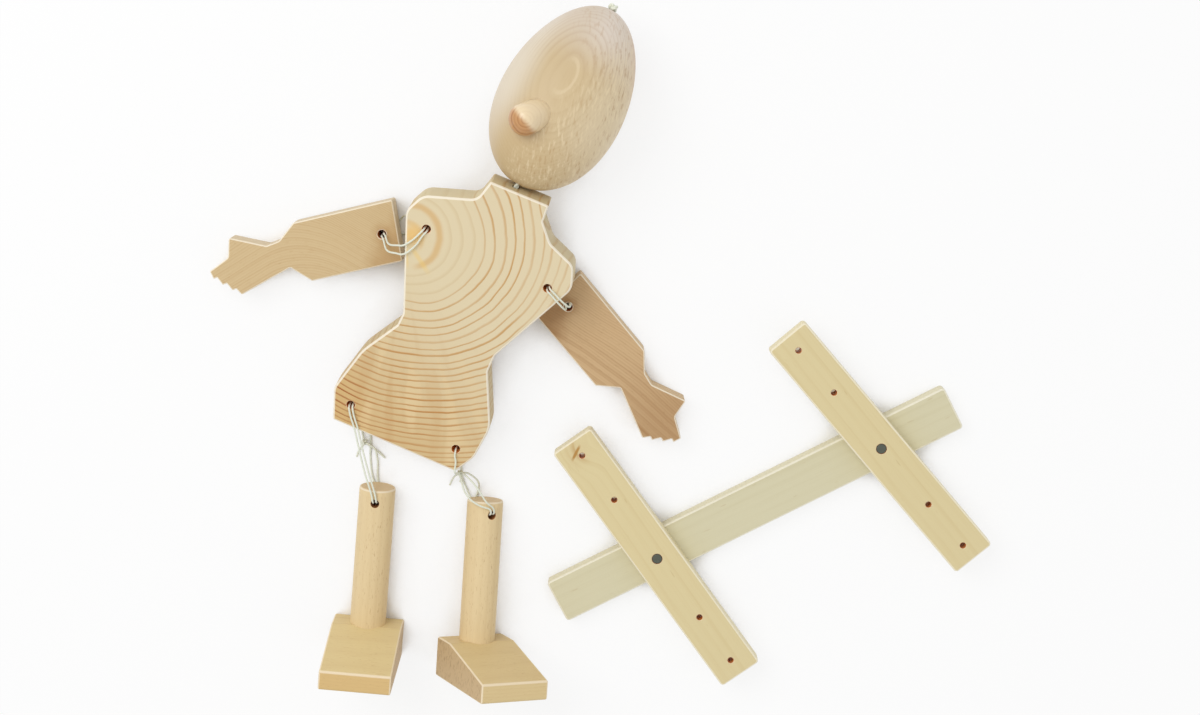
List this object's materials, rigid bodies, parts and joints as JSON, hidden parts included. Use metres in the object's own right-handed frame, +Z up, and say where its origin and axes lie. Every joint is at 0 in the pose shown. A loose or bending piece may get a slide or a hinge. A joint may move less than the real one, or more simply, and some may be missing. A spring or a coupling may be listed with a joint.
{
  "type": "marionette",
  "caption": "Plain wooden marionette: egg head with a peg nose, slab torso and arms, dowel legs and wedge feet tied with cord, and a bar control with pivoting crossbars.",
  "frame": {"origin": "centre of the laid-out marionette and its control, on the surface they lie on", "axes": "+Z up from that surface, +Y towards the head, +X to the right of the picture"},
  "size_m": [0.3214, 0.2834, 0.0587],
  "materials": {
    "softwood": "bare sanded end grain",
    "beech": "smooth, lightly oiled",
    "pale_arm": "bare sanded",
    "dark_arm": "bare sanded",
    "dowel": "bare sanded",
    "foot": "bare sanded",
    "bar_main": "bare sanded",
    "bar_cross": "bare sanded",
    "steel": "dull, cut ends",
    "cord": "thin braided cord"
  },
  "bodies": {
    "torso": {"torso": "softwood"},
    "neck": {"neck_cord": "cord"},
    "head": {"head": "beech", "nose": "beech", "neck_knot": "cord"},
    "left_shoulder_tie": {"left_shoulder_cord": "cord", "left_shoulder_knot": "cord"},
    "left_arm": {"left_arm": "pale_arm"},
    "right_shoulder_tie": {"right_shoulder_cord": "cord", "right_shoulder_knot": "cord"},
    "right_arm": {"right_arm": "dark_arm"},
    "left_hip_tie": {"left_hip_cord": "cord", "left_hip_knot": "cord"},
    "left_leg": {"left_leg": "dowel", "left_foot": "foot"},
    "right_hip_tie": {"right_hip_cord": "cord", "right_hip_knot": "cord"},
    "right_leg": {"right_leg": "dowel", "right_foot": "foot"},
    "control": {"control_bar": "bar_main", "front_pin": "steel", "rear_pin": "steel"},
    "front_crossbar": {"front_crossbar": "bar_cross"},
    "rear_crossbar": {"rear_crossbar": "bar_cross"}
  },
  "joints": [
    {"name": "head_nod", "type": "hinge", "parent": "torso", "child": "neck", "pos_m": [-0.03487, 0.06978, 0.03016], "axis": [0.915, -0.4035, 0], "range_deg": [-2, 30], "deforming": ["neck_cord"]},
    {"name": "head_turn", "type": "hinge", "parent": "neck", "child": "head", "pos_m": [-0.0156, 0.10475, 0.02521], "axis": [0.4773, 0.8647, -0.1564], "range_deg": [-60, 60]},
    {"name": "left_arm_swing", "type": "hinge", "parent": "torso", "child": "left_shoulder_tie", "pos_m": [-0.07919, 0.05998, 0.01807], "axis": [0.3968, 0.8996, 0.1822], "range_deg": [0, 85], "deforming": ["left_shoulder_cord", "left_shoulder_knot"]},
    {"name": "left_arm_turn", "type": "hinge", "parent": "left_shoulder_tie", "child": "left_arm", "pos_m": [-0.09, 0.049, 0.0013], "axis": [-0.017, -0.0039, 0.9998], "range_deg": [-60, 30], "deforming": ["left_shoulder_cord", "left_shoulder_knot"]},
    {"name": "right_arm_swing", "type": "hinge", "parent": "torso", "child": "right_shoulder_tie", "pos_m": [-0.01317, 0.02828, 0.01712], "axis": [-0.3968, -0.8996, -0.1822], "range_deg": [0, 85], "deforming": ["right_shoulder_cord", "right_shoulder_knot"]},
    {"name": "right_arm_turn", "type": "hinge", "parent": "right_shoulder_tie", "child": "right_arm", "pos_m": [-0.0148, 0.0193, 0.0013], "axis": [0.0111, -0.0135, 0.9998], "range_deg": [-6, 75], "deforming": ["right_shoulder_cord", "right_shoulder_knot"]},
    {"name": "left_leg_swing", "type": "hinge", "parent": "torso", "child": "left_hip_tie", "pos_m": [-0.10341, -0.01971, 0.00986], "axis": [-0.915, 0.4035, 0], "range_deg": [-30, 90], "deforming": ["left_hip_cord", "left_hip_knot"]},
    {"name": "left_leg_side", "type": "hinge", "parent": "left_hip_tie", "child": "left_leg", "pos_m": [-0.09491, -0.06267, 0.00886], "axis": [-0.0018, -0.0191, 0.9998], "range_deg": [-35, 2], "deforming": ["left_hip_cord", "left_hip_knot"]},
    {"name": "right_leg_swing", "type": "hinge", "parent": "torso", "child": "right_hip_tie", "pos_m": [-0.06056, -0.03828, 0.00991], "axis": [-0.915, 0.4035, 0], "range_deg": [-30, 90], "deforming": ["right_hip_cord", "right_hip_knot"]},
    {"name": "right_leg_side", "type": "hinge", "parent": "right_hip_tie", "child": "right_leg", "pos_m": [-0.04996, -0.06847, 0.00849], "axis": [0.4582, 0.0489, 0.8875], "range_deg": [-2, 8], "deforming": ["right_hip_cord", "right_hip_knot"]},
    {"name": "control_lift", "type": "slide", "parent": "torso", "child": "control", "axis": [0, 0, 1], "range_m": [0, 0.25]},
    {"name": "front_crossbar_turn", "type": "hinge", "parent": "control", "child": "front_crossbar", "pos_m": [0.02208, -0.08656, 0.008], "axis": [0, 0, 1], "range_deg": [-6, 15]},
    {"name": "rear_crossbar_turn", "type": "hinge", "parent": "control", "child": "rear_crossbar", "pos_m": [0.1143, -0.03957, 0.008], "axis": [0, 0, 1], "range_deg": [-35, 35]}
  ]
}
